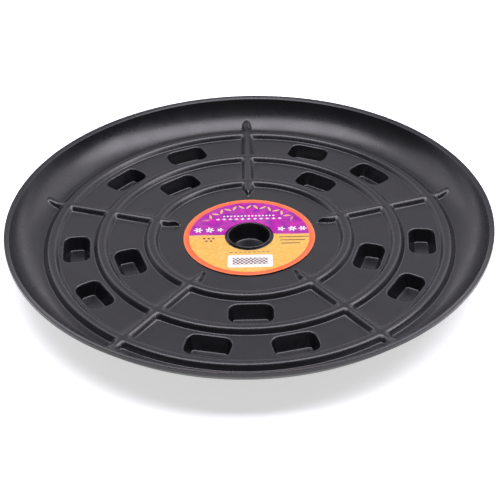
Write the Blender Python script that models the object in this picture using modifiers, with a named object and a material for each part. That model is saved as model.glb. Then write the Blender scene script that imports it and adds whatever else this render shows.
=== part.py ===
# A round plant saucer in one plastic moulding on hollow feet, with a round paper label on its centre disc.
# Units are metres and +Z is up. The origin is under the centre, on the surface that the feet stand on.

import math

import bmesh
import bpy

# Driving dimensions of the tray
RIM_DIAMETER = 0.5334
RIM_HEIGHT = 0.0322  # top of the rim above the floor
WALL = 0.0025  # thickness of the moulding
WALL_BEND = math.radians(46)  # how far a wall that leans at 45 degrees turns on its way up
LAND_WIDTH = 0.0052  # the rim's upper face, which slopes down towards the inside
LAND_DROP = 0.0025
SKIRT_HEIGHT = 0.0053  # upright outer side of the rim

# Raised ring ribs
INNER_RING_DIAMETER = 0.218
MIDDLE_RING_DIAMETER = 0.3282
OUTER_RING_DIAMETER = 0.4384
RING_BASE_WIDTH = 0.0166
RING_TOP_WIDTH = 0.0078
RING_TO_WALL = 0.002  # strip of floor between the outer ring and the flared wall
RIB_HEIGHT = 0.0054

# Raised radial ribs
RADIAL_RIBS = 5
FIRST_RADIAL_ANGLE = math.radians(18)
RADIAL_BASE_WIDTH = 0.013
RADIAL_TOP_WIDTH = 0.005
RADIAL_NOSE_REACH = 0.028  # from the inner ring's middle to the point of a radial rib's nose
RADIAL_NOSE_LENGTH = 0.013
RADIAL_DROP = 0.0003  # how far a radial rib's top lies below a ring's

# Hollow feet, which are pockets seen from above
POCKET_LENGTH = 0.0465
POCKET_TO_RING = 0.0045  # strip of floor between a pocket and the rings beside it
POCKET_DEPTH = 0.0155
POCKET_CORNER = 0.008
POCKET_FLOOR_CORNER = 0.003
POCKET_CORNER_LIMIT = 0.45  # a corner takes up no more than this share of the width
POCKET_FLOOR_SHARE = 0.57  # width of a pocket's floor as a share of its mouth's
POCKET_END_DRAFT = 0.0038  # how far each short side leans in from the mouth to the floor
POCKET_SPREAD = math.radians(13.2)  # angle of an outer pocket from the middle of its sector

# Round well in the centre, with a low collar
WELL_MOUTH_DIAMETER = 0.0438
WELL_FLOOR_DIAMETER = 0.034
WELL_FILLET = 0.0016
COLLAR_WIDTH = 0.0047
COLLAR_HEIGHT = 0.0025
COLLAR_TOP_WIDTH = 0.0014

# Paper label
LABEL_DIAMETER = 0.1464
LABEL_THICKNESS = 0.0003
LABEL_LIFT = 0.0003  # glue line under the label
LABEL_CLEARANCE = 0.0006  # between the label's hole and the collar

# Facets
TURN_STEPS = 64
LABEL_STEPS = 96
WALL_STEPS = 6
CORNER_STEPS = 3
MERGE_DISTANCE = 0.00001
CUT_MARGIN = 0.001  # how far a cutter runs past the face that it opens

# Places that follow from the dimensions
FLOOR_TOP = POCKET_DEPTH + WALL
RIB_TOP = FLOOR_TOP + RIB_HEIGHT
RADIAL_TOP = RIB_TOP - RADIAL_DROP
FLOOR_UNDERSIDE = FLOOR_TOP - WALL
MID_FLOOR = FLOOR_TOP - WALL / 2
RIM_TOP = FLOOR_TOP + RIM_HEIGHT
RIM_RADIUS = RIM_DIAMETER / 2
FLOOR_RADIUS = (OUTER_RING_DIAMETER + RING_BASE_WIDTH) / 2 + RING_TO_WALL  # the wall starts here
RING_DIAMETERS = (INNER_RING_DIAMETER, MIDDLE_RING_DIAMETER, OUTER_RING_DIAMETER)
RADIAL_NOSE_RADIUS = INNER_RING_DIAMETER / 2 - RADIAL_NOSE_REACH
WELL_MOUTH_RADIUS = WELL_MOUTH_DIAMETER / 2
WELL_FLOOR_RADIUS = WELL_FLOOR_DIAMETER / 2
COLLAR_RADIUS = WELL_MOUTH_RADIUS + COLLAR_WIDTH
SECTOR = 2 * math.pi / RADIAL_RIBS

# The flared wall is an arc from the floor to the inner edge of the rim's land
WALL_RUN = RIM_RADIUS - LAND_WIDTH - FLOOR_RADIUS
WALL_TOP = RIM_TOP - LAND_DROP
WALL_RISE = WALL_TOP - FLOOR_TOP
WALL_SLOPE = math.atan2(WALL_RISE, WALL_RUN)
HALF_BEND = WALL_BEND / 2 * math.sin(2 * WALL_SLOPE)
WALL_FOOT_SLOPE = WALL_SLOPE - HALF_BEND
WALL_CURVE = math.hypot(WALL_RUN, WALL_RISE) / (2 * math.sin(HALF_BEND))
WALL_CENTRE_RADIUS = FLOOR_RADIUS - WALL_CURVE * math.sin(WALL_FOOT_SLOPE)
WALL_CENTRE_HEIGHT = FLOOR_TOP + WALL_CURVE * math.cos(WALL_FOOT_SLOPE)


def clear_scene():
    for thing in list(bpy.data.objects):
        bpy.data.objects.remove(thing, do_unlink=True)


def new_collection(name):
    collection = bpy.data.collections.new(name)
    bpy.context.scene.collection.children.link(collection)
    return collection


def plastic_or_paper(name, colour, roughness):
    material = bpy.data.materials.new(name)
    material.use_nodes = True
    shader = material.node_tree.nodes["Principled BSDF"]
    shader.inputs["Base Color"].default_value = (*colour, 1.0)
    shader.inputs["Roughness"].default_value = roughness
    shader.inputs["Metallic"].default_value = 0.0
    material.diffuse_color = (*colour, 1.0)
    return material


def place(name, mesh, collection, material=None):
    thing = bpy.data.objects.new(name, mesh)
    collection.objects.link(thing)
    if material:
        mesh.materials.append(material)
    return thing


def mark_as_cutter(thing):
    thing.hide_render = True
    thing.display_type = "WIRE"


# A flat wire in the XZ plane, turned round Z by a Screw modifier
def turned(name, outlines, closed, steps, collection, material=None):
    mesh = bpy.data.meshes.new(name)
    points = []
    edges = []
    for outline in outlines:
        first = len(points)
        points += [(radius, 0.0, height) for radius, height in outline]
        edges += [(i, i + 1) for i in range(first, len(points) - 1)]
        if closed:
            edges.append((len(points) - 1, first))
    mesh.from_pydata(points, edges, [])
    thing = place(name, mesh, collection, material)
    screw = thing.modifiers.new("turn", "SCREW")
    screw.steps = steps
    screw.render_steps = steps
    screw.use_merge_vertices = True
    screw.merge_threshold = MERGE_DISTANCE
    screw.use_smooth_shade = True
    return thing


def arc(centre, radius, start, end, steps):
    turns = [start + (end - start) * i / steps for i in range(steps + 1)]
    return [(centre[0] + radius * math.cos(t), centre[1] + radius * math.sin(t)) for t in turns]


# Angle at which the wall's arc passes a height, measured from straight down
def wall_angle(radius, height):
    return math.acos((WALL_CENTRE_HEIGHT - height) / radius)


# Radius at which the wall's arc passes a height
def wall_radius(radius, height):
    return WALL_CENTRE_RADIUS + radius * math.sin(wall_angle(radius, height))


def wall_arc(radius, bottom_height, top_height):
    start = wall_angle(radius, bottom_height) - math.pi / 2
    end = wall_angle(radius, top_height) - math.pi / 2
    return arc((WALL_CENTRE_RADIUS, WALL_CENTRE_HEIGHT), radius, start, end, WALL_STEPS)


# Section of a ring rib's outer shape, or of the hollow under it
def ring_section(diameter, base_width, top_width, base_height, top_height):
    middle = diameter / 2
    return [
        (middle - base_width / 2, base_height),
        (middle - top_width / 2, top_height),
        (middle + top_width / 2, top_height),
        (middle + base_width / 2, base_height),
    ]


# A hollow follows its rib one wall thickness inside, so its corners draw in by this much
def mitre(base_width, top_width, height):
    flank = math.atan2(height, (base_width - top_width) / 2)
    return 2 * WALL * math.tan(flank / 2)


def well_outline():
    return [
        (0.0, WALL),
        (WELL_FLOOR_RADIUS, WALL),
        (WELL_FLOOR_RADIUS + WELL_FILLET, WALL + WELL_FILLET),
    ]


def well_underside():
    lean = math.atan2(WELL_MOUTH_RADIUS - WELL_FLOOR_RADIUS - WELL_FILLET, POCKET_DEPTH - WELL_FILLET)
    outset = WALL / math.cos(lean)
    return [
        (WELL_MOUTH_RADIUS + outset, FLOOR_UNDERSIDE),
        (WELL_FLOOR_RADIUS + WELL_FILLET + outset, WELL_FILLET),
        (WELL_FLOOR_RADIUS + outset, 0.0),
        (0.0, 0.0),
    ]


def collar_outline():
    crest = WELL_MOUTH_RADIUS + (COLLAR_WIDTH - COLLAR_TOP_WIDTH) / 3
    return [
        (WELL_MOUTH_RADIUS, FLOOR_TOP),
        (crest, FLOOR_TOP + COLLAR_HEIGHT),
        (crest + COLLAR_TOP_WIDTH, FLOOR_TOP + COLLAR_HEIGHT),
        (COLLAR_RADIUS, FLOOR_TOP),
    ]


def tray_outline():
    outline = well_outline() + collar_outline()
    for diameter in RING_DIAMETERS:
        outline += ring_section(diameter, RING_BASE_WIDTH, RING_TOP_WIDTH, FLOOR_TOP, RIB_TOP)
    outline += wall_arc(WALL_CURVE, FLOOR_TOP, WALL_TOP)
    outline += [(RIM_RADIUS, RIM_TOP), (RIM_RADIUS, RIM_TOP - SKIRT_HEIGHT)]
    outline += reversed(wall_arc(WALL_CURVE + WALL, FLOOR_UNDERSIDE, RIM_TOP - SKIRT_HEIGHT))
    outline += well_underside()
    return outline


def rounded_rectangle(length, width, corner):
    outline = []
    for quarter in range(4):
        across = length / 2 - corner if quarter in (0, 3) else corner - length / 2
        along = width / 2 - corner if quarter in (0, 1) else corner - width / 2
        start = quarter * math.pi / 2
        outline += arc((across, along), corner, start, start + math.pi / 2, CORNER_STEPS)
    return outline


# A block between a lower and an upper outline with as many points, turned to an angle round Z.
# An outline's first number runs along the radius.
def drafted_block(bm, lower, upper, bottom, top, angle):
    cos = math.cos(angle)
    sin = math.sin(angle)

    def point(flat, height):
        return (flat[0] * cos - flat[1] * sin, flat[0] * sin + flat[1] * cos, height)

    base = bm.faces.new([bm.verts.new(point(flat, bottom)) for flat in reversed(lower)])
    lift = bmesh.ops.extrude_face_region(bm, geom=[base], use_keep_orig=True)
    lid = next(item for item in lift["geom"] if isinstance(item, bmesh.types.BMFace))
    for corner, flat in zip([loop.vert for loop in lid.loops], reversed(upper)):
        corner.co = point(flat, top)
    lid.normal_flip()


def blocks(name, collection, shapes):
    bm = bmesh.new()
    for shape in shapes:
        drafted_block(bm, *shape)
    bmesh.ops.recalc_face_normals(bm, faces=bm.faces)
    mesh = bpy.data.meshes.new(name)
    bm.to_mesh(mesh)
    bm.free()
    return place(name, mesh, collection)


def radial_angles():
    return [FIRST_RADIAL_ANGLE + i * SECTOR for i in range(RADIAL_RIBS)]


# Radius of a row of pockets between two rings, and the width of its pockets
def pocket_row(inside, outside):
    return (inside + outside) / 4, (outside - inside) / 2 - RING_BASE_WIDTH - 2 * POCKET_TO_RING


# Each sector has one pocket between the inner two rings and two between the outer two
def pocket_places():
    inner_row = pocket_row(INNER_RING_DIAMETER, MIDDLE_RING_DIAMETER)
    outer_row = pocket_row(MIDDLE_RING_DIAMETER, OUTER_RING_DIAMETER)
    places = []
    for radial in radial_angles():
        middle = radial + SECTOR / 2
        places.append((*inner_row, middle))
        places.append((*outer_row, middle - POCKET_SPREAD))
        places.append((*outer_row, middle + POCKET_SPREAD))
    return places


# Outline of a pocket, or of the foot round it, at a depth below the floor
def pocket_outline(radius, mouth_width, depth, outset):
    share = depth / POCKET_DEPTH
    width = mouth_width * (1 - (1 - POCKET_FLOOR_SHARE) * share)
    length = POCKET_LENGTH - 2 * POCKET_END_DRAFT * share
    corner = POCKET_CORNER - (POCKET_CORNER - POCKET_FLOOR_CORNER) * share
    corner = min(corner, width * POCKET_CORNER_LIMIT) + outset
    flat = rounded_rectangle(width + 2 * outset, length + 2 * outset, corner)
    return [(radius + along, across) for along, across in flat]


def foot_blocks():
    shapes = []
    for radius, width, angle in pocket_places():
        lower = pocket_outline(radius, width, POCKET_DEPTH, WALL)
        upper = pocket_outline(radius, width, WALL / 2, WALL)
        shapes.append((lower, upper, 0.0, MID_FLOOR, angle))
    return shapes


def pocket_cutters():
    shapes = []
    for radius, width, angle in pocket_places():
        lower = pocket_outline(radius, width, POCKET_DEPTH, 0.0)
        upper = pocket_outline(radius, width, -CUT_MARGIN, 0.0)
        shapes.append((lower, upper, WALL, FLOOR_TOP + CUT_MARGIN, angle))
    return shapes


# Plan of a radial rib: a bar with a pointed nose at its inner end
def radial_outline(nose, nose_length, end, width):
    shoulder = nose + nose_length
    side = width / 2
    return [(nose, 0.0), (shoulder, -side), (end, -side), (end, side), (shoulder, side)]


def radial_height():
    return RADIAL_TOP - FLOOR_TOP


# The rib's flank carries on down into the middle of the floor, where the block starts
def radial_blocks():
    flank_run = (RADIAL_BASE_WIDTH - RADIAL_TOP_WIDTH) / 2 / radial_height()
    base_width = RADIAL_BASE_WIDTH + flank_run * WALL
    base_end = wall_radius(WALL_CURVE + WALL, MID_FLOOR) - WALL
    top_end = wall_radius(WALL_CURVE, RADIAL_TOP) + WALL
    nose_slope = RADIAL_NOSE_LENGTH * (1 - RADIAL_TOP_WIDTH / RADIAL_BASE_WIDTH)
    lower = radial_outline(RADIAL_NOSE_RADIUS - WALL, RADIAL_NOSE_LENGTH, base_end, base_width)
    top_nose = RADIAL_NOSE_RADIUS + nose_slope
    upper = radial_outline(top_nose, RADIAL_NOSE_LENGTH - nose_slope, top_end, RADIAL_TOP_WIDTH)
    return [(lower, upper, MID_FLOOR, RADIAL_TOP, angle) for angle in radial_angles()]


def radial_cutters():
    drawn_in = mitre(RADIAL_BASE_WIDTH, RADIAL_TOP_WIDTH, radial_height())
    flank_run = (RADIAL_BASE_WIDTH - RADIAL_TOP_WIDTH) / 2 / radial_height()
    base_width = RADIAL_BASE_WIDTH - drawn_in + 2 * flank_run * CUT_MARGIN
    top_width = RADIAL_TOP_WIDTH - drawn_in
    nose = RADIAL_NOSE_RADIUS + 2 * WALL
    end = wall_radius(WALL_CURVE, RADIAL_TOP) - WALL
    lower = radial_outline(nose, RADIAL_NOSE_LENGTH, end, base_width)
    upper = radial_outline(nose + RADIAL_NOSE_LENGTH / 2, RADIAL_NOSE_LENGTH / 2, end, top_width)
    bottom = FLOOR_UNDERSIDE - CUT_MARGIN
    return [(lower, upper, bottom, RADIAL_TOP - WALL, angle) for angle in radial_angles()]


def ring_hollows():
    drawn_in = mitre(RING_BASE_WIDTH, RING_TOP_WIDTH, RIB_HEIGHT)
    flank_run = (RING_BASE_WIDTH - RING_TOP_WIDTH) / 2 / RIB_HEIGHT
    base_width = RING_BASE_WIDTH - drawn_in + 2 * flank_run * CUT_MARGIN
    bottom = FLOOR_UNDERSIDE - CUT_MARGIN
    top_width = RING_TOP_WIDTH - drawn_in
    return [ring_section(d, base_width, top_width, bottom, RIB_TOP - WALL) for d in RING_DIAMETERS]


def combine(thing, name, operation, other):
    boolean = thing.modifiers.new(name, "BOOLEAN")
    boolean.operation = operation
    boolean.solver = "EXACT"
    boolean.object = other


def build_tray(parts, cutters):
    black = plastic_or_paper("black_plastic", (0.022, 0.022, 0.024), 0.42)
    tray = turned("saucer_tray", [tray_outline()], False, TURN_STEPS, parts, black)
    additions = {
        "feet": blocks("foot_blanks", cutters, foot_blocks()),
        "radial_ribs": blocks("radial_rib_blanks", cutters, radial_blocks()),
    }
    cuts = {
        "ring_hollows": turned("ring_hollow_cutters", ring_hollows(), True, TURN_STEPS, cutters),
        "radial_hollows": blocks("radial_hollow_cutters", cutters, radial_cutters()),
        "pockets": blocks("pocket_cutters", cutters, pocket_cutters()),
    }
    # Half a facet round, so that the hollows' edges don't lie in the edges of the tray's own facets
    cuts["ring_hollows"].rotation_euler.z = math.pi / TURN_STEPS
    for name, blank in additions.items():
        mark_as_cutter(blank)
        combine(tray, name, "UNION", blank)
    for name, cutter in cuts.items():
        mark_as_cutter(cutter)
        combine(tray, name, "DIFFERENCE", cutter)


def build_label(parts):
    paper = plastic_or_paper("printed_paper", (0.75, 0.32, 0.16), 0.5)
    hole = COLLAR_RADIUS + LABEL_CLEARANCE
    edge = LABEL_DIAMETER / 2
    bottom = FLOOR_TOP + LABEL_LIFT
    top = bottom + LABEL_THICKNESS
    outline = [(hole, top), (edge, top), (edge, bottom), (hole, bottom)]
    turned("paper_label", [outline], True, LABEL_STEPS, parts, paper)


clear_scene()
saucer = new_collection("plant_saucer")
helpers = new_collection("cutters")
build_tray(saucer, helpers)
build_label(saucer)
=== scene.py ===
import math

import bmesh
import bpy
from mathutils import Matrix, Vector


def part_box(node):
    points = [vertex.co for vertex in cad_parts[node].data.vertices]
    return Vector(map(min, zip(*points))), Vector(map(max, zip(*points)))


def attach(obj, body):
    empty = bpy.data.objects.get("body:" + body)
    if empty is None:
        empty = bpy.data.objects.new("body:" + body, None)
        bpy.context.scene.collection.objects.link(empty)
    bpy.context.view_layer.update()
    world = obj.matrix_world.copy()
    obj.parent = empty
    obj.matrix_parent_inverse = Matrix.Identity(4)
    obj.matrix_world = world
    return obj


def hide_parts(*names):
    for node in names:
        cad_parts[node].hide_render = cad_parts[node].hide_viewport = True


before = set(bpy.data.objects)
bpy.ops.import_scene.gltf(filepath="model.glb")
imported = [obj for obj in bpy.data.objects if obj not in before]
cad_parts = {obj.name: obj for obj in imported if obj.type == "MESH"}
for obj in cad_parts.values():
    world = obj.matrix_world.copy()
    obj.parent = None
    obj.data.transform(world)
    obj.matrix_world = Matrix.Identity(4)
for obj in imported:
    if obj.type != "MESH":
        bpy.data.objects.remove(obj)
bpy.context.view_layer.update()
mm = 0.001

# Lengths are in metres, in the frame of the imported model: +Z up, feet on z = 0


# Helpers for meshes and node trees

def fillet(corners, steps=5):
    # a flat path through (x, y, radius) corners, each rounded by its radius
    wholeShare, halfShare = 0.96, 0.48  # of a segment, for one rounding on it or for two
    path = []
    for i, (x, y, radius) in enumerate(corners):
        here = Vector((x, y))
        if radius == 0 or i in (0, len(corners) - 1):
            path.append(here)
            continue
        back = Vector(corners[i - 1][:2]) - here
        ahead = Vector(corners[i + 1][:2]) - here
        half = back.angle(ahead) / 2
        backRoom = back.length * (wholeShare if i == 1 else halfShare)
        aheadRoom = ahead.length * (wholeShare if i == len(corners) - 2 else halfShare)
        reach = min(radius / math.tan(half), backRoom, aheadRoom)
        bend = reach * math.tan(half)
        inwards = (back.normalized() + ahead.normalized()).normalized()
        centre = here + inwards * bend / math.sin(half)
        start = here + back.normalized() * reach - centre
        end = here + ahead.normalized() * reach - centre
        turn = start.angle(end)
        for k in range(steps + 1):
            t = k / steps
            arm = start * math.sin((1 - t) * turn) + end * math.sin(t * turn)
            path.append(centre + arm / math.sin(turn))
    return path


def meshObject(name, verts, faces, material, smooth=True):
    mesh = bpy.data.meshes.new(name)
    mesh.from_pydata(verts, [], faces)
    mesh.materials.append(material)
    if smooth:
        mesh.shade_smooth()
    else:
        mesh.shade_flat()
    made = bpy.data.objects.new(name, mesh)
    bpy.context.scene.collection.objects.link(made)
    return made


class Nodes:
    # short names for wiring a node tree

    def __init__(self, tree):
        self.tree = tree

    def add(self, kind, **settings):
        node = self.tree.nodes.new(kind)
        for name, value in settings.items():
            setattr(node, name, value)
        return node

    def plug(self, value, socket):
        if isinstance(value, bpy.types.NodeSocket):
            self.tree.links.new(value, socket)
        else:
            socket.default_value = value

    def calc(self, operation, *values, clamp=False):
        node = self.add("ShaderNodeMath", operation=operation, use_clamp=clamp)
        for value, socket in zip(values, node.inputs):
            self.plug(value, socket)
        return node.outputs[0]

    def below(self, value, limit, soft=0.15):
        # 1 where value is under limit, 0 above, with an edge this soft
        room = self.calc("SUBTRACT", self.calc("ADD", limit, soft), value)
        return self.calc("DIVIDE", room, 2 * soft, clamp=True)

    def both(self, *masks):
        result = masks[0]
        for mask in masks[1:]:
            result = self.calc("MULTIPLY", result, mask)
        return result

    def noise(self, where, scale, detail=3.0, roughness=0.5):
        node = self.add("ShaderNodeTexNoise")
        self.plug(where, node.inputs["Vector"])
        node.inputs["Scale"].default_value = scale
        node.inputs["Detail"].default_value = detail
        node.inputs["Roughness"].default_value = roughness
        return node.outputs["Fac"]

    def spread(self, value, low, high, toLow, toHigh):
        node = self.add("ShaderNodeMapRange")
        for given, socket in zip((value, low, high, toLow, toHigh), node.inputs):
            self.plug(given, socket)
        return node.outputs[0]

    def mix(self, share, below, above):
        node = self.add("ShaderNodeMix", data_type="RGBA")
        self.plug(share, node.inputs[0])
        for value, socket in ((below, node.inputs[6]), (above, node.inputs[7])):
            self.plug(value if isinstance(value, bpy.types.NodeSocket) else (*value, 1.0), socket)
        return node.outputs[2]

    def bump(self, height, distance, strength, shader):
        node = self.add("ShaderNodeBump")
        node.inputs["Strength"].default_value = strength
        node.inputs["Distance"].default_value = distance
        self.plug(height, node.inputs["Height"])
        self.plug(node.outputs["Normal"], shader.inputs["Normal"])


def shaderMaterial(name):
    material = bpy.data.materials.new(name)
    material.use_nodes = True
    nodes = Nodes(material.node_tree)
    shader = material.node_tree.nodes["Principled BSDF"]
    coords = nodes.add("ShaderNodeTexCoord").outputs["Object"]
    return material, nodes, shader, coords


# Camera, lights and floor

studio = {
    "lens": 90.134,
    "sensor": 36,
    "place": (0.00047, -1.14168, 0.81896),
    "aim": (0.00047, -0.02581, 0.018),
    "roll": -1.383,  # degrees
    "front": 0.05,  # light level of the dark room in front of the saucer
    "back": 2.0,  # of the pale backdrop behind it, at its foot
    "backTop": 0.38,  # share of that level left high up
    "backWidth": 0.8,  # how far round the backdrop takes to reach its full level
    "backHeight": 0.35,  # how far up it takes to fade
    "tint": (1.0, 0.965, 1.06),
    "boxPlace": (0.55, 0.12, 1.7),  # it hangs level and shines straight down
    "boxSize": (3.0, 0.9),
    "boxPower": 54,
    "sideLights": ((1.25, 1.0, 1.35), (-1.25, 1.0, 1.35)),  # two square ones, aimed at the saucer
    "sideSize": 1.3,
    "sidePower": 7,
    "floorColour": (0.82, 0.82, 0.82),
    "floorMottle": 0.985,  # its darkest patches, as a share of that colour
    "floorGlow": 0.6,  # stands for light that comes back from a white studio
    "floorReach": 8.0,
    "floorDrop": 0.2 * mm,  # below the feet
}


def softLight(name, place, size, power):
    lamp = bpy.data.lights.new(name, "AREA")
    lamp.shape = "RECTANGLE"
    lamp.size, lamp.size_y = size
    lamp.energy = power
    lamp.color = studio["tint"]
    light = bpy.data.objects.new(name, lamp)
    light.location = place
    bpy.context.scene.collection.objects.link(light)
    return light


def setUpCamera():
    camera = bpy.data.cameras.new("camera")
    camera.lens = studio["lens"]
    camera.sensor_width = studio["sensor"]
    viewer = bpy.data.objects.new("camera", camera)
    place = Vector(studio["place"])
    look = (Vector(studio["aim"]) - place).to_track_quat("-Z", "Y").to_matrix().to_4x4()
    roll = Matrix.Rotation(math.radians(studio["roll"]), 4, "Z")
    viewer.matrix_world = Matrix.Translation(place) @ look @ roll
    bpy.context.scene.collection.objects.link(viewer)
    bpy.context.scene.camera = viewer


def setUpLights():
    softLight("softbox", studio["boxPlace"], studio["boxSize"], studio["boxPower"])
    for i, place in enumerate(studio["sideLights"]):
        light = softLight("sideLight%d" % i, place, (studio["sideSize"],) * 2, studio["sidePower"])
        light.rotation_euler = Vector(place).to_track_quat("Z", "Y").to_euler()

    world = bpy.data.worlds.new("studioWorld")
    world.use_nodes = True
    sky = Nodes(world.node_tree)
    split = sky.add("ShaderNodeSeparateXYZ")
    sky.plug(sky.add("ShaderNodeTexCoord").outputs["Generated"], split.inputs[0])
    full = studio["back"] - studio["front"]
    behind = sky.spread(split.outputs[1], 0.0, studio["backWidth"], 0.0, full)
    low = sky.spread(split.outputs[2], 0.0, studio["backHeight"], 1.0, studio["backTop"])
    level = sky.calc("ADD", studio["front"], sky.calc("MULTIPLY", behind, low))
    background = world.node_tree.nodes["Background"]
    background.inputs["Color"].default_value = (*studio["tint"], 1)
    sky.plug(level, background.inputs["Strength"])
    bpy.context.scene.world = world
    bpy.context.scene.view_settings.view_transform = "Standard"
    bpy.context.scene.view_settings.look = "None"


def setUpFloor():
    paper, nodes, shader, coords = shaderMaterial("studioFloor")
    pale = studio["floorColour"]
    patch = [c * studio["floorMottle"] for c in pale]
    nodes.plug(nodes.mix(nodes.noise(coords, 6.0), pale, patch), shader.inputs["Base Color"])
    shader.inputs["Roughness"].default_value = 0.8
    shader.inputs["Specular IOR Level"].default_value = 0.2
    shader.inputs["Emission Color"].default_value = (1, 1, 1, 1)
    shader.inputs["Emission Strength"].default_value = studio["floorGlow"]
    reach, level = studio["floorReach"], -studio["floorDrop"]
    corners = [(-reach, -reach, level), (reach, -reach, level), (reach, reach, level), (-reach, reach, level)]
    meshObject("studioFloor", corners, [(0, 1, 2, 3)], paper, smooth=False)


# Black moulded plastic

plastic = {
    "deep": (0.0055, 0.0055, 0.0065),
    "worn": (0.014, 0.014, 0.016),
    "cloudScale": 14.0,  # broad clouding of the colour, per metre
    "cloudShare": 0.25,  # how far it goes from deep to worn
    "scuffScale": 260.0,  # fine scuffs where the attribute rub says
    "scuffShare": 0.2,
    "scuffShine": 0.02,  # a scuffed place is this much less rough
    "roughness": 0.28,
    "smoother": 0.03,
    "rougher": 0.04,
    "patchScale": 45.0,  # patches of more and less sheen
    "grainSize": 0.55 * mm,
    "grainHeight": 0.003 * mm,
}


def blackPlastic():
    p = plastic
    material, nodes, shader, coords = shaderMaterial("blackPlastic")
    rub = nodes.add("ShaderNodeAttribute", attribute_name="rub").outputs["Fac"]
    cloud = nodes.spread(nodes.noise(coords, p["cloudScale"], 4.0), 0.3, 0.7, 0.0, p["cloudShare"])
    scuff = nodes.spread(nodes.noise(coords, p["scuffScale"], 5.0, 0.65), 0.35, 0.7, 0.2, 1.0)
    wear = nodes.calc("MULTIPLY", rub, scuff)
    shade = nodes.calc("ADD", cloud, nodes.calc("MULTIPLY", wear, p["scuffShare"]), clamp=True)
    nodes.plug(nodes.mix(shade, p["deep"], p["worn"]), shader.inputs["Base Color"])
    smoothest, roughest = p["roughness"] - p["smoother"], p["roughness"] + p["rougher"]
    dull = nodes.spread(nodes.noise(coords, p["patchScale"], 3.0), 0.3, 0.7, smoothest, roughest)
    dull = nodes.calc("SUBTRACT", dull, nodes.calc("MULTIPLY", wear, p["scuffShine"]))
    nodes.plug(dull, shader.inputs["Roughness"])
    nodes.bump(nodes.noise(coords, 1 / p["grainSize"], 2.0), p["grainHeight"], 1.0, shader)
    shader.inputs["Specular IOR Level"].default_value = 0.5
    shader.inputs["IOR"].default_value = 1.5
    return material


# The moulded tray

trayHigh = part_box("saucer_tray")[1]
traySizes = {
    "wall": 2.5 * mm,
    "floor": 18.0 * mm,  # top of the floor
    "rim": trayHigh[0],
    "rimTop": trayHigh[2],
    "landWidth": 5.2 * mm,  # the rim's upper face, which slopes down towards the inside
    "landDrop": 2.5 * mm,
    "landRounding": 1.0 * mm,
    "skirt": 5.3 * mm,  # upright outer side of the rim
    "rimRounding": 0.5 * mm,
    "skirtRounding": 0.6 * mm,
    "wallStart": 229.5 * mm,
    "wallSlope": math.radians(20),  # of the wall's arc at its foot
    "easeFrom": 226.0 * mm,  # between these radii the floor curves up into the wall's arc
    "easeTo": 233.0 * mm,
    "wellFloor": 17.0 * mm,
    "wellMouth": 21.9 * mm,
    "wellFlare": 6.0 * mm,  # rounding at the mouth
    "wellCorner": 2.4 * mm,
    "collar": 26.6 * mm,
    "collarHeight": 2.5 * mm,
    "collarCrest": 1.75 * mm,  # from the well's mouth to the middle of the collar's top
    "collarTop": 1.0 * mm,
    "collarFoot": 1.2 * mm,
}
ribs = {
    "rings": (109.0 * mm, 164.1 * mm, 219.2 * mm),
    "ringTop": 7.8 * mm,
    "bars": 5,
    "firstBar": math.radians(18),
    "barTop": 5.6 * mm,
    "barEnd": 240.0 * mm,  # middle of its round end
    "height": 5.4 * mm,
    "flank": 4.4 * mm,
    "crest": 2.4 * mm,  # how softly a rib's top edge rounds over
    "foot": 1.1 * mm,  # how softly a rib runs out into the floor
    "crossing": 4.0 * mm,  # rounding in plan where two ribs cross
    "noseTip": 81.0 * mm,
    "noseLength": 13.0 * mm,  # over this length a bar narrows to its tip
    "noseShare": 0.2,  # of its width that is left there
    "climbFrom": 232.0 * mm,  # from here a bar's top rises with the wall
    "climb": 0.33,
    "hollowInset": 1.19 * mm,  # the hollow under a rib is this much narrower on each side
}
pockets = {
    "length": 46.5 * mm,
    "width": 29.5 * mm,
    "corner": 9.5 * mm,
    "floorCorner": 4.0 * mm,
    "leastCorner": 0.3 * mm,
    "floorShare": 0.57,  # width of a pocket's floor as a share of its mouth's
    "endDraft": 3.8 * mm,
    "lean": 5.0 * mm,  # draft in the section that the roundings are drawn in
    "lip": 3.0 * mm,
    "bottom": 2.0 * mm,
    "flange": 3.0 * mm,  # how far the cup reaches past the mouth, and past the corner of its floor
    "underFlange": 2.5 * mm,
    "footReach": 1.7 * mm,  # from the mouth's edge out to the foot's root
    "footRoot": 0.8 * mm,
    "footEdge": 2.2 * mm,
    "footInset": 1.0 * mm,
    "spread": math.radians(13.2),
    "innerRow": 136.55 * mm,
    "outerRow": 191.65 * mm,
    "cornerSteps": 5,
}
grid = {  # where the tray's mesh has its rows and lanes, in mm
    "besideBar": (0.9, 1.4, 1.8, 2.2, 2.6, 3.0, 3.5, 4.4, 5.4, 5.9, 6.3, 6.7, 7.1, 7.6, 8.6, 14.0),
    "betweenBars": 32,  # steps from one bar to the next
    "narrowest": 40,  # inside this radius the lanes run straight to the middle
    "wellFloor": (6, 12),
    "middle": (32, 45, 60, 71, 75, 77, 79, 81, 83, 85, 87, 89, 91, 93, 95, 97),
    "besideRing": (2.4, 2.9, 3.3, 3.7, 4.1, 4.5, 4.9, 6.2, 7.4, 7.8, 8.1, 8.4, 8.8, 9.2, 9.6),
    "besideHollow": (2.1, 3.1, 4.2, 5.8, 6.8, 8.1),
    "middleUnder": (94, 89, 85, 81, 60, 40),
    "easeSteps": 16,
    "wallSteps": 26,
    "fineWallSteps": 13,  # the bars end on these, and above them every second row is enough
    "outerWallSteps": 10,
    "pocketLanes": (((-8, 8),), ((-12, -2), (2, 12))),  # from midway between bars, in each gap of the rings
}


def eased(value, reach):
    # 0 at first, then value itself, with a parabola between -reach and reach
    if value <= -reach:
        return 0.0
    if value >= reach:
        return value
    return (value + reach) ** 2 / (4 * reach)


def softLeast(a, b, reach):
    overlap = max(reach - abs(a - b), 0.0) / reach
    return min(a, b) - overlap * overlap * reach / 4


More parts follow.
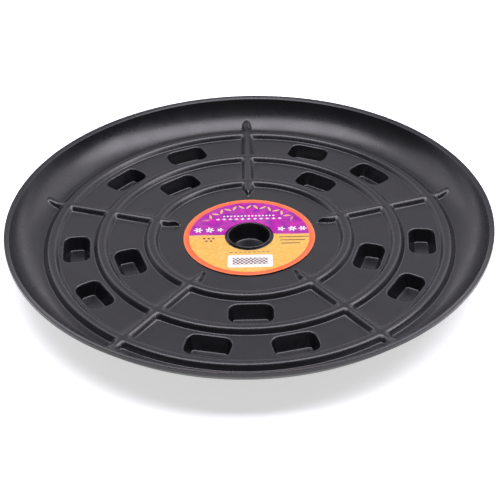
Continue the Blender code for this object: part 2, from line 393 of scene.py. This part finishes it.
def ribLift(radius, aside, base, inset):
    # height of the ribs above a floor that itself stands at base
    ring = min(abs(radius - middle) for middle in ribs["rings"]) - ribs["ringTop"] / 2
    fromTip = radius - ribs["noseTip"]
    narrowing = min(1.0, max(fromTip / ribs["noseLength"], ribs["noseShare"]))
    pastEnd = max(0.0, radius - ribs["barEnd"])
    bar = math.hypot(aside / narrowing, pastEnd) - ribs["barTop"] / 2
    bar = max(bar, ribs["flank"] - fromTip)
    climb = ribs["climb"] * max(0.0, radius - ribs["climbFrom"])
    edge = softLeast(ring, bar, ribs["crossing"]) + inset
    slope = ribs["height"] / ribs["flank"]
    return eased(ribs["height"] + climb - slope * eased(edge, ribs["crest"]) - base, ribs["foot"])


def laneList():
    # each lane is (bar number, distance beside it or None, share of the way to the next bar)
    made = []
    beside = [d * mm for d in grid["besideBar"]]
    steps = grid["betweenBars"]
    for bar in range(ribs["bars"]):
        made += [(bar, aside, None) for aside in [-d for d in reversed(beside)] + [0.0] + beside]
        made += [(bar, None, i / steps) for i in range(1, steps)]
    return made


def laneAngle(lane, radius):
    bar, aside, share = lane
    step = 2 * math.pi / ribs["bars"]
    start = ribs["firstBar"] + bar * step
    reach = max(radius, grid["narrowest"] * mm)
    if share is None:
        return start + math.asin(aside / reach)
    edge = math.asin(grid["besideBar"][-1] * mm / reach)
    return start + edge + (step - 2 * edge) * share


def asideOfBar(lane, radius):
    bar, aside, share = lane
    if share is None:
        return aside * min(1.0, radius / (grid["narrowest"] * mm))
    step = 2 * math.pi / ribs["bars"]
    turn = laneAngle(lane, radius) - ribs["firstBar"] - bar * step
    return radius * math.sin(min(turn, step - turn))


def wallArc():
    # centre and radius of the arc that the wall's inner face follows up to the rim's land
    s = traySizes
    run = s["rim"] - s["landWidth"] - s["wallStart"]
    rise = s["rimTop"] - s["landDrop"] - s["floor"]
    half = math.atan2(rise, run) - s["wallSlope"]
    bend = math.hypot(run, rise) / (2 * math.sin(half))
    across = s["wallStart"] - bend * math.sin(s["wallSlope"])
    up = s["floor"] + bend * math.cos(s["wallSlope"])
    return across, up, bend


def wallPoints(bend, low, high, steps):
    # points of the wall's arc, or of one round it, between two heights
    across, up = wallArc()[:2]
    first = math.acos((up - low) / bend)
    last = math.acos((up - high) / bend)
    turns = [first + (last - first) * i / steps for i in range(steps + 1)]
    return [(across + bend * math.sin(turn), up - bend * math.cos(turn)) for turn in turns]


def ringRadii(offsets):
    both = [-d for d in reversed(offsets)] + [0.0] + list(offsets)
    return [[middle + d * mm for d in both] for middle in ribs["rings"]]


def plainRows(points):
    return [(point.x, point.y, False, 0.0) for point in points]


def wellRows():
    # floor of the well, its flared mouth, and the collar round it
    s = traySizes
    crest = s["wellMouth"] + s["collarCrest"]
    collarTop = s["floor"] + s["collarHeight"]
    section = fillet([
        (0.0, s["wall"], 0), (s["wellFloor"] + 0.8 * mm, s["wall"], s["wellCorner"]),
        (s["wellMouth"], s["floor"], s["wellFlare"]), (crest - s["collarTop"] / 2, collarTop, 0.9 * mm),
        (crest + s["collarTop"] / 2, collarTop, 1.0 * mm),
        (s["collar"] - 0.4 * mm, s["floor"], s["collarFoot"]), (s["collar"] + 2 * mm, s["floor"], 0),
    ])
    extra = [Vector((radius * mm, s["wall"])) for radius in grid["wellFloor"]]
    return plainRows(extra + section[1:])


def floorRows():
    s = traySizes
    made = [(radius * mm, s["floor"], True, 0.0) for radius in grid["middle"]]
    rings = ringRadii(grid["besideRing"])
    for i, radii in enumerate(rings):
        made += [(radius, s["floor"], True, 0.0) for radius in radii if radius < s["easeFrom"]]
        if i < len(rings) - 1:
            made.append(((radii[-1] + rings[i + 1][0]) / 2, s["floor"], True, 0.0))
    return made


def trayRows():
    # rows from the middle over the top to the rim and back underneath: (radius, height, ribbed, inset)
    s = traySizes
    top = wellRows() + floorRows()
    across, up, bend = wallArc()
    joinHeight = up - math.sqrt(bend ** 2 - (s["easeTo"] - across) ** 2)
    for i in range(grid["easeSteps"]):
        share = i / grid["easeSteps"]
        radius = s["easeFrom"] + (s["easeTo"] - s["easeFrom"]) * share
        top.append((radius, s["floor"] + (joinHeight - s["floor"]) * share ** 2, True, 0.0))
    arc = wallPoints(bend, joinHeight, s["rimTop"] - s["landDrop"], grid["wallSteps"])
    fine = grid["fineWallSteps"]
    top += [(radius, height, True, 0.0) for radius, height in arc[:fine] + arc[fine:-2:2]]

    lipHeight = s["rimTop"] - s["skirt"]
    underside = s["floor"] - s["wall"]
    outer = wallPoints(bend + s["wall"], underside, lipHeight, grid["outerWallSteps"])[::-1]
    edge = fillet([
        (*arc[-3], 0), (*arc[-1], s["landRounding"]), (s["rim"], s["rimTop"], s["rimRounding"]),
        (s["rim"], lipHeight, s["skirtRounding"]), (*outer[0], s["skirtRounding"]), (*outer[1], 0),
    ])
    split = max(range(len(edge)), key=lambda i: edge[i].x - edge[i].y)
    top += plainRows(edge[1:split])

    inset = ribs["hollowInset"]
    below = plainRows(edge[split:])
    below += [(radius, height, True, inset) for radius, height in outer[2:]]
    hollows = ringRadii(grid["besideHollow"])
    for i in reversed(range(len(hollows))):
        below += [(radius, underside, True, inset) for radius in reversed(hollows[i])]
        if i:
            below.append(((hollows[i][0] + hollows[i - 1][-1]) / 2, underside, True, inset))
    below += [(radius * mm, underside, True, inset) for radius in grid["middleUnder"]]
    below += plainRows(fillet([
        (30 * mm, underside, 0), (s["wellMouth"] + 2.6 * mm, underside, 1.5 * mm),
        (s["wellFloor"] + 2.7 * mm, 0.0, s["wellCorner"]), (10 * mm, 0.0, 0),
    ]))
    return top, below


def rubOf(radius, lift, onTop):
    # where hands and pots polish the moulding: the ribs' tops and the rim
    s = traySizes
    if not onTop:
        return 0.0
    landStart = s["rim"] - s["landWidth"]
    if radius > landStart:
        return min(1.0, (radius - landStart) / s["landWidth"])
    return max(0.0, lift / ribs["height"] - 0.6) / 0.4


def pocketCells(rows, topCount, ways):
    # grid cells (row, lane) that a pocket takes the place of, above and below
    perBar = len(ways) // ribs["bars"]
    midway = 2 * len(grid["besideBar"]) + grid["betweenBars"] // 2
    slack = 0.01 * mm
    above = (grid["besideRing"][-1] * mm, range(topCount - 1))
    under = (grid["besideHollow"][-1] * mm, range(topCount, len(rows) - 1))
    cells = set()
    for offset, candidates in (above, under):
        for gap, spans in enumerate(grid["pocketLanes"]):
            low = ribs["rings"][gap] + offset - slack
            high = ribs["rings"][gap + 1] - offset + slack
            for i in candidates:
                near, far = sorted((rows[i][0], rows[i + 1][0]))
                if near < low or far > high:
                    continue
                for start, end in spans:
                    for lane in range(midway + start, midway + end):
                        cells.update((i, bar * perBar + lane) for bar in range(ribs["bars"]))
    return cells


def trayShell():
    # verts and faces of the whole skin, with the faces over each pocket left out
    s = traySizes
    top, below = trayRows()
    rows = top + below
    ways = laneList()
    count = len(ways)
    verts, rubbed = [(0.0, 0.0, s["wall"])], [0.0]
    for i, (radius, height, ribbed, inset) in enumerate(rows):
        onTop = i < len(top)
        floorHere = s["floor"] if onTop else s["floor"] - s["wall"]
        for lane in ways:
            angle = laneAngle(lane, radius)
            lift = ribLift(radius, asideOfBar(lane, radius), height - floorHere, inset) if ribbed else 0.0
            verts.append((radius * math.cos(angle), radius * math.sin(angle), height + lift))
            rubbed.append(rubOf(radius, lift, onTop))
    verts.append((0.0, 0.0, 0.0))
    rubbed.append(0.0)
    cells = pocketCells(rows, len(top), ways)
    faces = []
    last = 1 + (len(rows) - 1) * count
    for j in range(count):
        k = (j + 1) % count
        faces.append((0, 1 + j, 1 + k))
        faces.append((last + k, last + j, len(verts) - 1))
        for i in range(len(rows) - 1):
            if (i, j) not in cells:
                a, b = 1 + i * count, 1 + (i + 1) * count
                faces.append((a + j, b + j, b + k, a + k))
    return verts, faces, rubbed


def pocketOutline(outset, height):
    # rounded rectangle of a pocket at a height, its width along x and its length along y
    s, p = traySizes, pockets
    share = min(1.0, (s["floor"] - height) / (s["floor"] - s["wall"]))
    outset += p["lean"] * share
    corner = max(p["corner"] - (p["corner"] - p["floorCorner"]) * share + outset, p["leastCorner"])
    across = p["width"] / 2 * (1 - (1 - p["floorShare"]) * share) + outset - corner
    along = p["length"] / 2 - p["endDraft"] * share + outset - corner
    centres = ((across, along), (-across, along), (-across, -along), (across, -along))

    def onCorner(quarter, turn):
        angle = (quarter + turn) * math.pi / 2
        x, y = centres[quarter % 4]
        return Vector((x + corner * math.cos(angle), y + corner * math.sin(angle)))

    outline = []
    for quarter in range(4):
        outline += [onCorner(quarter, k / p["cornerSteps"]) for k in range(p["cornerSteps"] + 1)]
        outline += [outline[-1].lerp(onCorner(quarter + 1, 0), t) for t in (0.33, 0.67)]
    return outline


def cupMesh():
    # one pocket: its inner skin from the floor's top down, and its foot from the floor's underside down
    s, p = traySizes, pockets
    underside = s["floor"] - s["wall"]
    inner = fillet([
        (p["flange"], s["floor"], 0), (0.0, s["floor"], p["lip"]),
        (-p["lean"], s["wall"], p["bottom"]), (-p["lean"] - p["flange"], s["wall"], 0),
    ])
    outer = fillet([
        (p["underFlange"], underside, 0), (p["footReach"], underside, p["footRoot"]),
        (-p["lean"] + s["wall"], 0.0, p["footEdge"]), (-p["lean"] - p["footInset"], 0.0, 0),
    ])
    verts, faces = [], []
    for path, downwards in ((inner, True), (outer, False)):
        first = len(verts)
        for step in path:
            outline = pocketOutline(step.x, step.y)
            verts += [(x, y, step.y) for x, y in outline]
        count = len(outline)
        for i in range(len(path) - 1):
            a, b = first + i * count, first + (i + 1) * count
            for j in range(count):
                k = (j + 1) % count
                face = (a + j, a + k, b + k, b + j)
                faces.append(face[::-1] if downwards else face)
        last = first + (len(path) - 1) * count
        floorFace = tuple(range(last, last + count))
        faces.append(floorFace if downwards else floorFace[::-1])
    return verts, faces


def pocketTree():
    # three rows of pockets: one between the inner rings, two between the outer ones
    tree = bpy.data.node_groups.new("pocketRows", "GeometryNodeTree")
    sockets = tree.interface
    sockets.new_socket("Pocket", in_out="INPUT", socket_type="NodeSocketGeometry")
    sockets.new_socket("Sectors", in_out="INPUT", socket_type="NodeSocketInt")
    for name in ("Inner Row", "Outer Row", "Spread", "First Angle"):
        sockets.new_socket(name, in_out="INPUT", socket_type="NodeSocketFloat")
    sockets.new_socket("Plastic", in_out="INPUT", socket_type="NodeSocketMaterial")
    sockets.new_socket("Pockets", in_out="OUTPUT", socket_type="NodeSocketGeometry")

    nodes = Nodes(tree)
    given = nodes.add("NodeGroupInput").outputs
    index = nodes.add("GeometryNodeInputIndex").outputs[0]
    step = nodes.calc("DIVIDE", 2 * math.pi, given["Sectors"])
    joined = nodes.add("GeometryNodeJoinGeometry")
    for row, side in (("Inner Row", 0.0), ("Outer Row", -1.0), ("Outer Row", 1.0)):
        turn = nodes.calc("ADD", given["First Angle"], nodes.calc("MULTIPLY", given["Spread"], side))
        angle = nodes.calc("ADD", turn, nodes.calc("MULTIPLY", index, step))
        where = nodes.add("ShaderNodeCombineXYZ")
        nodes.plug(nodes.calc("MULTIPLY", given[row], nodes.calc("COSINE", angle)), where.inputs[0])
        nodes.plug(nodes.calc("MULTIPLY", given[row], nodes.calc("SINE", angle)), where.inputs[1])
        facing = nodes.add("ShaderNodeCombineXYZ")
        nodes.plug(angle, facing.inputs[2])
        points = nodes.add("GeometryNodePoints")
        nodes.plug(given["Sectors"], points.inputs["Count"])
        nodes.plug(where.outputs[0], points.inputs["Position"])
        copies = nodes.add("GeometryNodeInstanceOnPoints")
        nodes.plug(points.outputs[0], copies.inputs["Points"])
        nodes.plug(given["Pocket"], copies.inputs["Instance"])
        nodes.plug(facing.outputs[0], copies.inputs["Rotation"])
        nodes.plug(copies.outputs[0], joined.inputs[0])
    real = nodes.add("GeometryNodeRealizeInstances")
    nodes.plug(joined.outputs[0], real.inputs[0])
    coat = nodes.add("GeometryNodeSetMaterial")
    nodes.plug(real.outputs[0], coat.inputs["Geometry"])
    nodes.plug(given["Plastic"], coat.inputs["Material"])
    nodes.plug(coat.outputs[0], nodes.add("NodeGroupOutput").inputs[0])
    return tree


def pocketRows(material):
    # the one cup is drawn about the origin, and the tree puts its copies in their rows
    verts, faces = cupMesh()
    cup = meshObject("pocket", verts, faces, material)
    modifier = cup.modifiers.new("rows", "NODES")
    tree = pocketTree()
    modifier.node_group = tree
    values = {
        "Sectors": ribs["bars"],
        "Inner Row": pockets["innerRow"],
        "Outer Row": pockets["outerRow"],
        "Spread": pockets["spread"],
        "First Angle": ribs["firstBar"] + math.pi / ribs["bars"],
        "Plastic": material,
    }
    for socket in tree.interface.items_tree:
        if socket.name in values:
            modifier[socket.identifier] = values[socket.name]
    cup.update_tag()
    depsgraph = bpy.context.evaluated_depsgraph_get()
    mesh = bpy.data.meshes.new_from_object(cup.evaluated_get(depsgraph))
    cup.modifiers.remove(modifier)
    bpy.data.objects.remove(cup)
    return mesh


def openLoops(bm):
    # every loop of open edges, as (edges, centre)
    left = {edge for edge in bm.edges if edge.is_boundary}
    loops = []
    while left:
        edge = left.pop()
        loop, ends = [edge], list(edge.verts)
        while ends:
            vert = ends.pop()
            for other in vert.link_edges:
                if other in left:
                    left.discard(other)
                    loop.append(other)
                    ends.append(other.other_vert(vert))
        centre = sum((e.verts[0].co + e.verts[1].co for e in loop), Vector()) / (2 * len(loop))
        loops.append((loop, centre))
    return loops


def makeTray(material):
    verts, faces, rubbed = trayShell()
    tray = meshObject("trayShell", verts, faces, material)
    rub = tray.data.attributes.new("rub", "FLOAT", "POINT")
    rub.data.foreach_set("value", rubbed)
    rows = pocketRows(material)

    # each cup is sewn into the gap that the shell left for it
    bm = bmesh.new()
    bm.from_mesh(tray.data)
    gaps = openLoops(bm)
    gapEdges = {edge for edges, centre in gaps for edge in edges}
    bm.from_mesh(rows)
    mouths = [loop for loop in openLoops(bm) if loop[0][0] not in gapEdges]
    print("gaps in the shell", len(gaps), "pocket edges", len(mouths), "pocket faces", len(rows.polygons))
    for edges, centre in gaps:
        mouth = min(mouths, key=lambda loop: (loop[1] - centre).length)
        bmesh.ops.triangle_fill(
            bm, use_beauty=True, use_dissolve=False, edges=edges + mouth[0], normal=(0, 0, 1))
    bmesh.ops.recalc_face_normals(bm, faces=bm.faces)
    if bm.calc_volume(signed=True) < 0:
        bmesh.ops.reverse_faces(bm, faces=bm.faces)
    for face in bm.faces:
        face.smooth = True
    unclosed = sum(1 for edge in bm.edges if not edge.is_manifold)
    volume = round(bm.calc_volume() * 1e6, 1)
    print("tray:", len(bm.faces), "faces,", unclosed, "open edges, plastic", volume, "cm3")
    bm.to_mesh(tray.data)
    bm.free()
    bpy.data.meshes.remove(rows)
    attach(tray, "root")
    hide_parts("saucer_tray")


# The paper label

labelLow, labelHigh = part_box("paper_label")
label = {
    "outer": labelHigh[0],
    "inner": 27.2 * mm,
    "bottom": labelLow[2],
    "top": labelHigh[2],
    "curl": 0.5 * mm,  # how far the near edge has lifted
    "curlTurn": 0.25,  # radians from straight ahead to where it lifts most
    "curlFrom": 52.0 * mm,  # inside this radius the paper lies flat
    "ripple": 0.12 * mm,
    "ripples": 5,
    "stepsAround": 180,
    "stepsAcross": 26,
    "coral": (0.64, 0.10, 0.030),
    "coralLight": (0.70, 0.16, 0.055),
    "purple": (0.19, 0.003, 0.235),
    "magenta": (0.42, 0.001, 0.28),
    "gold": (0.60, 0.335, 0.055),
    "goldLight": (0.66, 0.47, 0.14),
    "cream": (0.60, 0.42, 0.13),
    "white": (0.64, 0.64, 0.60),
    "ink": (0.10, 0.02, 0.03),
    "sheen": 0.15,  # of matt uncoated paper
    "fibre": 0.02 * mm,
}
motifs = {  # places and sizes in mm, from the middle of the label
    "join": 3.2,  # where the purple ground meets the gold one
    "joinWave": 0.6,
    "leafRing": 58.5,
    "leafStep": math.radians(8),
    "leafSpan": math.radians(54),  # to each side of the far end
    "leafReach": 4.0,  # half of a leaf's length
    "leafWidth": 1.7,  # half of its width
    "leafTilt": 0.7,
    "vein": 0.22,
    "beads": (40.0, 4.0, 1.25, 30.0),  # height of the row, pitch, size and half of its length
    "lozenges": (34.0, 7.0, 2.6, 38.5),
    "dashes": (-30.5, 5.0, 1.6, 22.0),
    "dashThickness": 0.45,
    "rosettes": (  # across, up, size, petals and turn
        (-57.0, 13.5, 5.2, 6, 0.0), (-44.0, 13.5, 5.2, 6, 1.57), (-32.5, 13.5, 3.6, 5, 0.0),
        (60.0, 13.0, 4.6, 6, 0.0), (48.5, 13.0, 5.2, 6, 1.57), (36.0, 13.0, 4.4, 5, 0.0),
    ),
    "dots": ((-50.0, -3.0), (-45.0, -3.0), (-40.0, -3.0), (-47.5, -8.0), (-42.5, -8.0)),
    "dotSize": 1.5,
    "rules": ((50.0, -3.0, 17.0), (48.0, -9.0, 14.0), (45.5, -15.0, 10.5)),
    "ruleThickness": 0.7,
    "panel": (0.5, -47.0, 21.5, 8.5),  # across, up and half sizes, without the rounding
    "panelCorner": 3.0,
    "chequer": (0.5, -47.0, 19.0, 6.0),
    "chequerScale": 0.42,
    "border": 67.0,
    "borderFade": (69.0, 73.0),
}


def printedPaper():
    material, nodes, shader, coords = shaderMaterial("printedPaper")
    calc = nodes.calc
    scaled = nodes.add("ShaderNodeVectorMath", operation="SCALE")
    nodes.plug(coords, scaled.inputs[0])
    scaled.inputs["Scale"].default_value = 1 / mm
    where = scaled.outputs[0]
    split = nodes.add("ShaderNodeSeparateXYZ")
    nodes.plug(where, split.inputs[0])
    x, y = split.outputs[:2]

    def size(value):
        return calc("ABSOLUTE", value)

    def minus(value, other):
        return calc("SUBTRACT", value, other)

    def times(value, other):
        return calc("MULTIPLY", value, other)

    def length(across, up):
        return calc("SQRT", calc("ADD", times(across, across), times(up, up)))

    def repeated(value, pitch):
        return minus(value, times(calc("ROUND", calc("DIVIDE", value, pitch)), pitch))

    def block(across, up, halfWidth, halfHeight):
        inWidth = nodes.below(size(minus(x, across)), halfWidth)
        return nodes.both(inWidth, nodes.below(size(minus(y, up)), halfHeight))

    def dot(across, up):
        return nodes.below(length(minus(x, across), minus(y, up)), motifs["dotSize"])

    def rosette(across, up, reach, petals, turn):
        dx, dy = minus(x, across), minus(y, up)
        away = length(dx, dy)
        wave = calc("COSINE", calc("ADD", times(calc("ARCTAN2", dy, dx), petals), turn))
        edge = times(calc("ADD", times(wave, 0.3), 0.7), reach)
        return nodes.both(nodes.below(away, edge), nodes.below(reach * 0.2, away))

    def paint(under, colour, *masks):
        total = masks[0]
        for mask in masks[1:]:
            total = calc("MAXIMUM", total, mask)
        return nodes.mix(total, under, label[colour])

    # mottled purple above, mottled gold below, with a gently waved join
    mottle = nodes.spread(nodes.noise(where, 0.11, 4.0, 0.6), 0.38, 0.62, 0.0, 1.0)
    fleck = nodes.spread(nodes.noise(where, 0.35, 4.0, 0.65), 0.45, 0.75, 0.0, 0.9)
    upper = nodes.mix(mottle, label["purple"], label["magenta"])
    lower = nodes.mix(fleck, label["gold"], label["goldLight"])
    wave = times(calc("SINE", times(x, 0.09)), motifs["joinWave"])
    colour = nodes.mix(nodes.below(calc("ADD", motifs["join"], wave), y), lower, upper)

    # an arc of small leaves over the far side, leaning to the left and right in turn
    radius = length(x, y)
    angle = calc("ARCTAN2", x, y)  # 0 at the far side, growing to the right
    place = calc("DIVIDE", angle, motifs["leafStep"])
    number = calc("ROUND", place)
    along = times(minus(place, number), motifs["leafStep"] * motifs["leafRing"])
    outwards = minus(radius, motifs["leafRing"])
    tilt = times(minus(times(calc("FLOORED_MODULO", number, 2.0), 2.0), 1.0), motifs["leafTilt"])
    fromVein = size(calc("ADD", along, times(outwards, tilt)))
    leafShare = calc("DIVIDE", outwards, motifs["leafReach"])
    width = times(minus(1.0, times(leafShare, leafShare)), motifs["leafWidth"])
    leaf = nodes.both(nodes.below(fromVein, width, 0.2), nodes.below(size(angle), motifs["leafSpan"]))
    vein = nodes.both(nodes.below(fromVein, motifs["vein"], 0.12), leaf)
    colour = paint(colour, "cream", leaf)
    colour = nodes.mix(times(vein, 0.6), colour, label["purple"])

    # a row of beads, a row of lozenges under it, and rosettes at both sides
    row, pitch, reach, span = motifs["beads"]
    bead = nodes.below(length(repeated(x, pitch), minus(y, row)), reach)
    beads = nodes.both(bead, nodes.below(size(x), span))
    row, pitch, reach, span = motifs["lozenges"]
    lozenge = calc("ADD", size(repeated(x, pitch)), times(size(minus(y, row)), 1.6))
    lozenges = nodes.both(nodes.below(lozenge, reach), nodes.below(size(x), span))
    colour = paint(colour, "white", beads, lozenges)
    colour = paint(colour, "white", *(rosette(*flower) for flower in motifs["rosettes"]))

    # on the gold: dots at the left, three short rules at the right, and dashes below the well
    row, pitch, reach, span = motifs["dashes"]
    inRow = nodes.below(size(minus(y, row)), motifs["dashThickness"])
    dashes = nodes.both(nodes.below(size(repeated(x, pitch)), reach), inRow, nodes.below(size(x), span))
    dots = [dot(*spot) for spot in motifs["dots"]]
    rules = [block(*rule, motifs["ruleThickness"]) for rule in motifs["rules"]]
    colour = paint(colour, "ink", dashes, *dots, *rules)

    # white panel with a plain chequer
    across, up, halfWidth, halfHeight = motifs["panel"]
    pastX = calc("MAXIMUM", minus(size(minus(x, across)), halfWidth), 0.0)
    pastY = calc("MAXIMUM", minus(size(minus(y, up)), halfHeight), 0.0)
    colour = paint(colour, "white", nodes.below(length(pastX, pastY), motifs["panelCorner"]))
    chequer = nodes.add("ShaderNodeTexChecker")
    nodes.plug(where, chequer.inputs["Vector"])
    chequer.inputs["Scale"].default_value = motifs["chequerScale"]
    colour = paint(colour, "ink", nodes.both(chequer.outputs["Fac"], block(*motifs["chequer"])))

    # coral border, paler towards the edge, and a slight fading of the whole print
    fade = nodes.spread(radius, *motifs["borderFade"], 0.0, 1.0)
    border = nodes.mix(fade, label["coral"], label["coralLight"])
    colour = nodes.mix(nodes.below(motifs["border"], radius), colour, border)
    faded = nodes.spread(nodes.noise(where, 0.05, 3.0), 0.3, 0.7, 0.0, 0.05)
    nodes.plug(nodes.mix(faded, colour, label["white"]), shader.inputs["Base Color"])

    dull = nodes.spread(nodes.noise(where, 0.4, 3.0), 0.3, 0.7, 0.36, 0.48)
    nodes.plug(dull, shader.inputs["Roughness"])
    shader.inputs["Specular IOR Level"].default_value = label["sheen"]
    nodes.bump(nodes.noise(where, 2.2, 4.0), label["fibre"], 0.5, shader)
    return material


def paperLift(radius, angle):
    # how far the paper has come away from the floor
    nearness = max(0.0, -math.sin(angle - label["curlTurn"])) ** 2
    outward = max(0.0, (radius - label["curlFrom"]) / (label["outer"] - label["curlFrom"])) ** 2
    ripple = label["ripple"] * outward * (0.5 + 0.5 * math.sin(label["ripples"] * angle))
    return label["curl"] * nearness * outward + ripple


def makeLabel():
    around, across = label["stepsAround"], label["stepsAcross"]
    verts, faces = [], []
    for level in ("top", "bottom"):
        for i in range(across + 1):
            radius = label["inner"] + (label["outer"] - label["inner"]) * i / across
            for j in range(around):
                angle = 2 * math.pi * j / around
                height = label[level] + paperLift(radius, angle)
                verts.append((radius * math.cos(angle), radius * math.sin(angle), height))
    half = (across + 1) * around
    edge = across * around
    for j in range(around):
        k = (j + 1) % around
        for i in range(across):
            a, b = i * around, (i + 1) * around
            faces.append((a + j, b + j, b + k, a + k))
            faces.append((half + a + k, half + b + k, half + b + j, half + a + j))
        faces.append((edge + k, edge + j, half + edge + j, half + edge + k))
        faces.append((j, k, half + k, half + j))
    paper = meshObject("printedLabel", verts, faces, printedPaper())
    bm = bmesh.new()
    bm.from_mesh(paper.data)
    bmesh.ops.recalc_face_normals(bm, faces=bm.faces)
    sharpFrom = 0.6  # radians, so the cut edge of the paper stays crisp
    for meshEdge in bm.edges:
        if meshEdge.calc_face_angle(0.0) > sharpFrom:
            meshEdge.smooth = False
    bm.to_mesh(paper.data)
    bm.free()
    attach(paper, "root")
    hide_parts("paper_label")


setUpCamera()
setUpLights()
setUpFloor()
print("studio ready")
makeTray(blackPlastic())
print("tray ready")
makeLabel()
print("label ready")
